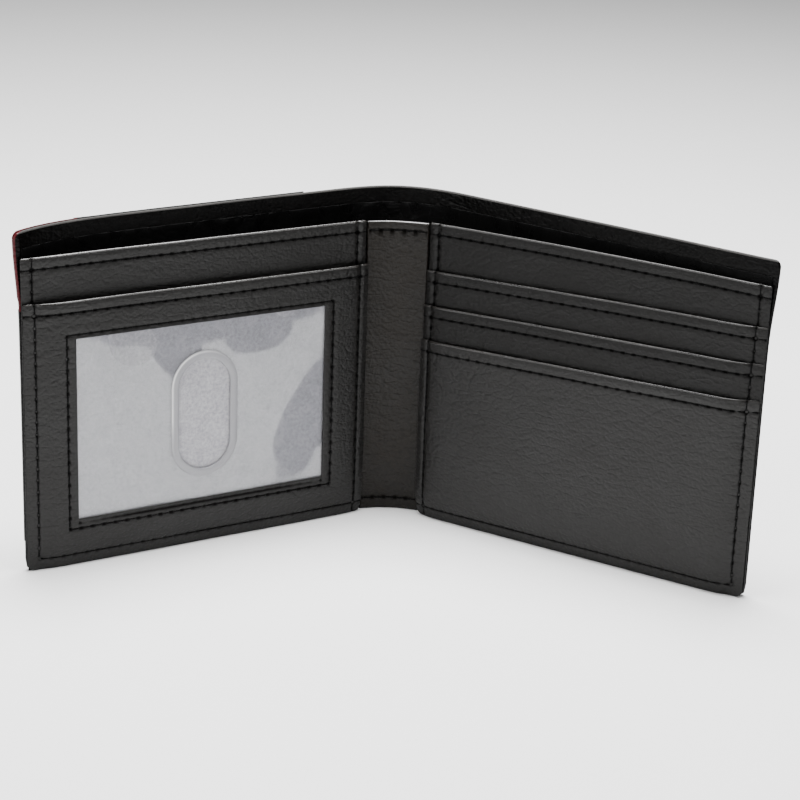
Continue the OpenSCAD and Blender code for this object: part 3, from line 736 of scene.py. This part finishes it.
def window_piece():
    """The clear window: a ring of quads between the thumb slot, with its raised rim, and a rectangle behind
    the frame."""
    lap, lap_top = 6, 5
    u0, z0, u1, z1 = WINDOW[0] - lap, WINDOW[1] - lap, WINDOW[2] + lap, WINDOW[3] + lap_top
    cu, cz = THUMB_AT
    corners = [math.atan2(z - cz, u - cu) for z in (z0, z1) for u in (u0, u1)]
    angles = np.unique(np.concatenate([np.linspace(-math.pi, math.pi, 145), corners]))
    straight = (THUMB_H - THUMB_W) / 2
    rim = np.concatenate([0.12 * (1 - np.cos(np.linspace(0, math.pi / 2, 4))),
                          np.linspace(0.2, THUMB_RIM - 0.2, 9),
                          [THUMB_RIM - 0.05, THUMB_RIM + 0.08, THUMB_RIM + 0.3]])
    grid = []
    for a in angles:
        c, s = math.cos(a), math.sin(a)
        reach = min((u1 - cu if c > 0 else u0 - cu) / c if abs(c) > 1e-9 else 1e9,
                    (z1 - cz if s > 0 else z0 - cz) / s if abs(s) > 1e-9 else 1e9)
        near = [thumb_reach(a, THUMB_W / 2 + r, straight) for r in rim]
        out = np.concatenate([near, near[-1] + (reach - near[-1]) * np.linspace(0.03, 1, 30)])
        grid.append(np.stack([cu + c * out, cz + s * out], -1))
    grid = np.array(grid).transpose(1, 0, 2)
    gu, gz = grid[..., 0], grid[..., 1]
    from_slot = np.concatenate([rim, THUMB_RIM + 0.3 + np.linspace(0.3, 30, 30)])[:, None]
    from_rim = np.minimum.reduce([gu - u0, u1 - gu, gz - z0, z1 - gz])
    full = roll(from_slot, 0.12) * roll(np.maximum(from_rim, 0), 0.12)
    across = np.clip((from_slot - THUMB_RIM / 2) / (THUMB_RIM / 2), -1, 1)
    bead = 0.5 * np.sqrt(1 - across ** 2) * np.ones_like(gu)
    relief = waves(gu, gz, 41, 0.16) * smooth(from_slot / 6)
    middle = VINYL_T - VINYL / 2
    front = place(LEFT, gu, middle + (VINYL / 2 + bead) * full + relief * full, gz)
    back = place(LEFT, gu, middle - VINYL / 2 * full + relief * full, gz)
    uv = np.stack([gu, gz], -1) / 100
    # Painted highlight: a white line on the rim's outer flank, strongest on its upper left, where the lamps
    # would catch it.
    turn = np.clip(1.25 * np.cos(0.9 * (angles - math.radians(35))), 0, 1) ** 2
    glint = turn[None] * np.exp(-((from_slot - THUMB_RIM + 0.25) / 0.22) ** 2)
    piece = grid_solid("id_window_vinyl", front[::-1], back[::-1], uv[::-1], [CLEAR, CLEAR_RIM],
                       rim_rows=len(rim) - 2, share=glint[::-1])
    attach(piece, BODY[LEFT])
    return finish_piece(piece, "clear_vinyl", "id_window")


window_piece()

# Right half: three stepped card pockets
for k, label in enumerate(("upper", "middle")):
    face_t = (k + 1) * PITCH
    strip_low = POCKET_Z[k] - POCKET_STRIP
    depth_low = POCKET_Z[k] - POCKET_DEPTH
    strip = sheet_piece(f"{label}_card_pocket", RIGHT, face_t, LEATHER, (FOLD_PLAY, PANEL_W),
                        edge_at(strip_low, POCKET_RISE), edge_at(POCKET_Z[k], POCKET_RISE), [SHADED_POCKET],
                        seams=[f"{label}_hem_stitching", "right_border_stitching", "right_seam_stitching"],
                        hem=0.25, seed=50 + k)
    finish_piece(strip, "inner_leather", f"{label}_pocket_face")
    tail = sheet_piece(f"{label}_pocket_cloth", RIGHT, face_t - LEATHER + FABRIC, FABRIC, inset_span(0.3),
                       depth_low, edge_at(strip_low - 0.1, POCKET_RISE), [POCKET_CLOTH],
                       seed=54 + k, wave=0.03)
    finish_piece(tail, "pocket_fabric", f"{label}_pocket_tail")
    turned_edges(f"{label}_pocket_edging", RIGHT, k * PITCH + CARD_GAP, CARD_GAP, depth_low, POCKET_Z[k] - 2,
                 f"{label}_pocket_edges", 60 + 4 * k)
lower = sheet_piece("lower_card_pocket", RIGHT, 3 * PITCH, LEATHER, (FOLD_PLAY, PANEL_W), 0,
                    edge_at(POCKET_Z[2], POCKET_RISE), [INNER], hem=0.25,
                    seams=["lower_hem_stitching", "right_border_stitching", "right_seam_stitching"],
                    corner=PANEL_CORNERS, seed=57)
finish_piece(lower, "inner_leather", "lower_pocket_face")
turned_edges("lower_pocket_edging", RIGHT, 2 * PITCH + CARD_GAP, CARD_GAP, 1, POCKET_Z[2] - 2,
             "lower_pocket_edges", 70)


# ------------------------------------------------------------------ shell, lining and spine strip
def bow_share(z):
    return np.power(np.clip(z / SHELL_H, 0, 1), 1.25)


EDGE_ROOM = {LEFT: (1.3, 5), RIGHT: (1.3, 7)}


def shell_depth(side, u, z):
    """How far the shell's outside lies behind the inner panel's face: roomy inside, squeezed flat at seams.
    """
    share = bow_share(z)
    along = np.clip(u / PANEL_W, 0, 1)
    inside = CLOSED_BACK + (SHELL_BOW - CLOSED_BACK - TAPER[side] * along) * share
    rise, power = EDGE_ROOM[side]
    edge = 1.3 + rise * (z / SHELL_H) ** power
    inside = inside - 0.6 * math.exp(-(z / 4.5) ** 2)
    sewn = along ** 9
    return inside * (1 - sewn) + edge * sewn


def shell_lip(z):
    """How far the shell's outer edge reaches past the panel's."""
    return 0.15 + 0.95 * float(smooth((z - 68) / 20))


def shell_grid(side, zs, shares, arc, inset, corner):
    """Rows of points of the shell, at inset inside its outer face: out along the panel, and first round the
    spine if arc has points. corner is the radius of its outer corners."""
    c, s = math.cos(OPEN), math.sin(OPEN)
    rows = []
    for z in zs:
        share = float(bow_share(z))
        start_u = 1 + 3 * share
        gap = min(z - zs[0], zs[-1] - z)
        cut = corner - math.sqrt(max(corner ** 2 - max(corner - gap, 0) ** 2, 0))
        u = start_u + shares * (PANEL_W + shell_lip(z) - cut - start_u)
        depth = shell_depth(side, u, z)
        x, y = FOLD_X + u * c + depth * s, -u * s + depth * c
        if len(arc):
            apex = 3.4 + 11.4 * share
            span = math.hypot(x[0], y[0] - apex)
            tx, ty = np.array([x[1] - x[0], y[1] - y[0]]) / math.hypot(x[1] - x[0], y[1] - y[0]) * span
            h = arc[:-1]
            arrive, leave, turn = 3 * h ** 2 - 2 * h ** 3, h - 2 * h ** 2 + h ** 3, h ** 3 - h ** 2
            px = arrive * x[0] + leave * span + turn * tx
            py = (1 - arrive) * apex + arrive * y[0] + turn * ty
            x, y = np.concatenate([px, x]), np.concatenate([py, y])
        run = np.concatenate([[0], np.cumsum(np.hypot(np.diff(x), np.diff(y)))])
        dx, dy = np.gradient(x, run), np.gradient(y, run)
        if len(arc):
            dx[0], dy[0] = 1, 0
        size = np.hypot(dx, dy)
        rows.append(np.stack([x + dy / size * inset, y - dx / size * inset, np.full_like(x, z)], -1))
    return np.array(rows)


def shell_piece(name, side, outer, thick, low, high, materials, *, span=(0.0, 1.0), rim=0, pucker=0.0, seed=1,
                corner=0.0, lift=None, turned=None, notch=None):
    """A skin of one shell half. outer is how far its outside lies inside the shell's outer face, and span the
    shares of the panel's width it covers; one from 0 goes on round to the middle of the spine. lift raises it
    off the face it lies on, as a function of the distances along and up. turned is the material of a leather
    turned over the outer edge, the height it starts at and its width. notch is the share and the height that
    the upper outer corner is cut out from."""
    edge = thick * 0.5
    full_w = PANEL_W + 1
    first, last = span[0] * full_w, span[1] * full_w
    zs = lines(low, high, 2.5, edge, edge, [high - 3])
    us = lines(first, last, 1.8, edge if first else 0, edge, [last - 2])
    if notch:
        cut_u, cut_z = notch[0] * full_w, notch[1]
        us, zs = with_hole(us, cut_u, last + 9, edge), with_hole(zs, cut_z, high + 9, edge)
        us, zs = us[us <= last], zs[zs <= high]
    arc = np.linspace(0, 1, 15)[:0 if first else 15]
    insets = (outer, outer + thick / 2, outer + thick)
    outside, middle, inside = (shell_grid(side, zs, us / full_w, arc, inset, corner) for inset in insets)
    run = np.cumsum(np.concatenate([[0], np.hypot(*np.diff(outside[len(zs) // 2, :, :2], axis=0).T)]))
    height = np.broadcast_to(zs[:, None], (len(zs), len(run)))
    along = np.broadcast_to(run[None], height.shape)
    full = roll(height - low, edge) * roll(high - height, edge) * roll(run[-1] - along, edge)
    if first:
        full = full * roll(along - run[0], edge)
    skip = None
    if notch:
        grid_u = np.broadcast_to(us[None], height.shape)
        full = full * roll(np.maximum(np.maximum(cut_u - grid_u, cut_z - height), 0), edge)
        skip = (grid_u[:-1, :-1] > cut_u - 0.01) & (height[:-1, :-1] > cut_z - 0.01)
    ripple = waves(along, height, seed, 0.15)
    if pucker:
        fade = smooth((run[-1] - along) / 8) * np.exp(-((high - height) / 6) ** 2)
        ripple = ripple + pucker * fade * np.sin(along * 1.2 + 2 * np.sin(along * 0.31) + height * 0.2)
    normal = (inside - outside) / thick
    off = ripple * full * 0.5
    if lift is not None:
        off = off - lift(along, height)
    middle = middle + normal * off[..., None]
    front = middle - normal * (thick / 2) * full[..., None]
    back = middle + normal * (thick / 2) * full[..., None]
    for grid in (front, back):
        grid[..., 0] *= side
        grid[..., 1] += FOLD_Y
    uv = np.stack([along + 150 * seed, height], -1) / 100
    piece = grid_solid(name, front, back, uv, materials, skip, rim_rows=rim, cap=not first)
    if turned:
        piece.data.materials.append(turned[0])
        edge_x = abs(outside[:, -1, 0])
        for face in piece.data.polygons:
            z = face.center.z / MM
            if z > turned[1] and abs(face.center.x) / MM > np.interp(z, zs, edge_x) - turned[2]:
                face.material_index = len(piece.data.materials) - 1
    return piece


BEND_FROM, BEND_TO = 1.0, 13.0
for side in (LEFT, RIGHT):
    tag = SIDE_NAME[side]
    start, end = (Vector((side * x * MM, FOLD_Y * MM, 0)) for x in (BEND_FROM, BEND_TO))
    shell = shell_piece(f"{tag}_outer_shell", side, 0, SHELL, 0, SHELL_H, [OUTER, RAW_EDGE, SHADED_INSIDE],
                        rim=EDGE_ROWS, seed=11 + side, corner=SHELL_CORNER,
                        turned=(ACCENT, FIELD_TURN_LOW, FIELD_TURN_W) if side == LEFT else None)
    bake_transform(shell)
    finish_piece(shell, "shell_leather", f"{tag}_shell", "spine_shell")
    skin = shell_piece(f"{tag}_note_lining", side, SHELL + 0.05, FABRIC, 0.4, SHELL_H - 4.3, [LINING],
                       span=(0, 0.985), pucker=0.35, seed=14 + side)
    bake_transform(skin)
    finish_piece(skin, "note_lining", f"{tag}_lining", "spine_lining")


def lifted_corner(along, height):
    """The overlay's loose corner beside the red field stands off a little."""
    reach = (FIELD_FROM - 0.1) * PANEL_W - along
    return 0.7 * np.exp(-(reach / 5) ** 2) * smooth((height - 82) / 9)


overlay = shell_piece("black_overlay", LEFT, -SKIN_PROUD, SKIN, OVERLAY_LOW, SHELL_H + 0.15, [OVERLAY],
                      span=(0.1, 1.0), lift=lifted_corner, notch=(FIELD_FROM, FIELD_LOW - 0.1), seed=17)
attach(overlay, BODY[LEFT])
finish_piece(overlay, "overlay_leather", "left_shell_overlay")
accent = shell_piece("red_corner_field", LEFT, -SKIN_PROUD, SKIN, FIELD_LOW, SHELL_H + 0.15, [ACCENT],
                     span=(FIELD_FROM + 0.002, 1.0), corner=SHELL_CORNER, seed=18)
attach(accent, BODY[LEFT])
finish_piece(accent, "accent_leather", "left_shell_accent")


def strip_piece(side):
    """Half of the strip between the folds: a shallow trough that runs in behind the panels' edges."""
    thick, hem = LEATHER, 0.4
    half = FOLD_X + 0.1
    zs = lines(0, PANEL_H - 0.4, 1.8, thick / 2, (thick + hem) * 0.55, [PANEL_H - 1.5])
    xs = np.linspace(0, half, 17)
    x, z = np.meshgrid(xs, zs)
    sag = np.maximum(0.3 + 1.5 * (1 - (x / (FOLD_X - FOLD_PLAY)) ** 2), 0.25)
    from_top = zs[-1] - z
    relief = waves(x * side, z, 90, 0.35) * (1 - x / half * 0.5)
    relief = relief + 0.14 * np.exp(-((from_top - 1.3) / 0.9) ** 2)
    full = roll(z - zs[0], thick / 2) * roll(from_top, (thick + hem) * 0.55) * roll(half - x, thick / 2)
    deep = thick + hem * smooth((HEM_W - from_top) / 1.2)
    front = np.stack([side * x, FOLD_Y + sag + deep / 2 - (deep / 2 + relief) * full, z], -1)
    back = np.stack([side * x, FOLD_Y + sag + deep / 2 + deep / 2 * full, z], -1)
    uv = np.stack([side * x + 40, z], -1) / 100
    # The strip's hem takes the brighter painted highlight.
    piece = grid_solid(f"{SIDE_NAME[side]}_spine_strip", front, back, uv, [STRIP, HEM_HIGHLIGHT[LEFT]],
                       rim_rows=EDGE_ROWS, share=full, cap=True,
                       seams=["spine_top_stitching", "spine_bottom_stitching"])
    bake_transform(piece)
    return finish_piece(piece, "spine_leather", "spine_strip")


for side in (LEFT, RIGHT):
    strip_piece(side)

# ------------------------------------------------------------------ stitching
SEWN = {
    LEFT: ["left_border", "left_seam", "left_hem", "id_hem", "id_window"],
    RIGHT: ["right_border", "right_seam", "right_hem", "upper_hem", "middle_hem", "lower_hem"],
}
for side, seams in SEWN.items():
    for seam in seams:
        stitching(f"{seam}_thread", side, f"{seam}_stitching", BODY[side])
    tag = SIDE_NAME[side]
    stitching(f"{tag}_shell_thread", side, f"{tag}_shell_stitching", BODY[side], sink=0.04, back=True)
for end in ("top", "bottom"):
    stitching(f"spine_{end}_thread", 0, f"spine_{end}_stitching", "spine")


# ------------------------------------------------------------------ floor, light and camera
def floor_material():
    n = Nodes("floor_paper")
    n.put(n.shader.inputs["Base Color"], n.blend(n.noise(60, 3.0), grey(0.84), grey(0.87)))
    n.shader.inputs["Roughness"].default_value = 0.8
    return n.material


# Name, place in metres, width in metres, power in watts
LAMPS = (
    ("overhead", (0.0, 0.12, 0.75), 0.5, 24.0),
    ("left_box", (-0.7, -0.4, 0.5), 0.4, 4.0),
    ("right_box", (0.75, -0.5, 0.55), 0.4, 2.0),
    ("low_front", (-0.05, -0.36, 0.02), 0.25, 0.35),
)


def floor_piece():
    size, drop = 1.6, 0.0001
    corners = [(-size, -size, -drop), (size, -size, -drop), (size, size, -drop), (-size, size, -drop)]
    mesh = bpy.data.meshes.new("floor")
    mesh.from_pydata(corners, [], [(0, 1, 2, 3)])
    mesh.uv_layers.new(name="surface")
    mesh.materials.append(floor_material())
    floor = bpy.data.objects.new("floor", mesh)
    bpy.context.scene.collection.objects.link(floor)


def studio():
    """Soft boxes and a faint even light."""
    world = bpy.data.worlds.new("studio")
    world.use_nodes = True
    world.node_tree.nodes["Background"].inputs[0].default_value = (1, 1, 1, 1)
    world.node_tree.nodes["Background"].inputs[1].default_value = 0.14
    bpy.context.scene.world = world
    for name, at, width, power in LAMPS:
        light = bpy.data.lights.new(name, "AREA")
        light.size, light.energy = width, power
        lamp = bpy.data.objects.new(name, light)
        lamp.location = at
        lamp.rotation_euler = (Vector((0, 0, 0.02)) - Vector(at)).to_track_quat("-Z", "Y").to_euler()
        bpy.context.scene.collection.objects.link(lamp)


def camera():
    """Looks along +Y, tilted down and rolled a little, from about 0.63 m."""
    tilt, lean = math.radians(19.22), math.radians(2.08)
    across, away, above = 2.11, 581.24, 235.85
    forward = Vector((0, math.cos(tilt), -math.sin(tilt)))
    level = Vector((1, 0, 0))
    upright = level.cross(forward)
    right = level * math.cos(lean) + upright * math.sin(lean)
    up = upright * math.cos(lean) - level * math.sin(lean)
    data = bpy.data.cameras.new("camera")
    data.lens, data.sensor_width = 98.95, 36
    eye = bpy.data.objects.new("camera", data)
    turn = Matrix((right, up, -forward)).transposed().to_4x4()
    eye.matrix_world = Matrix.Translation(Vector((across, FOLD_Y - away, above)) * MM) @ turn
    bpy.context.scene.collection.objects.link(eye)
    bpy.context.scene.camera = eye


floor_piece()
studio()
camera()
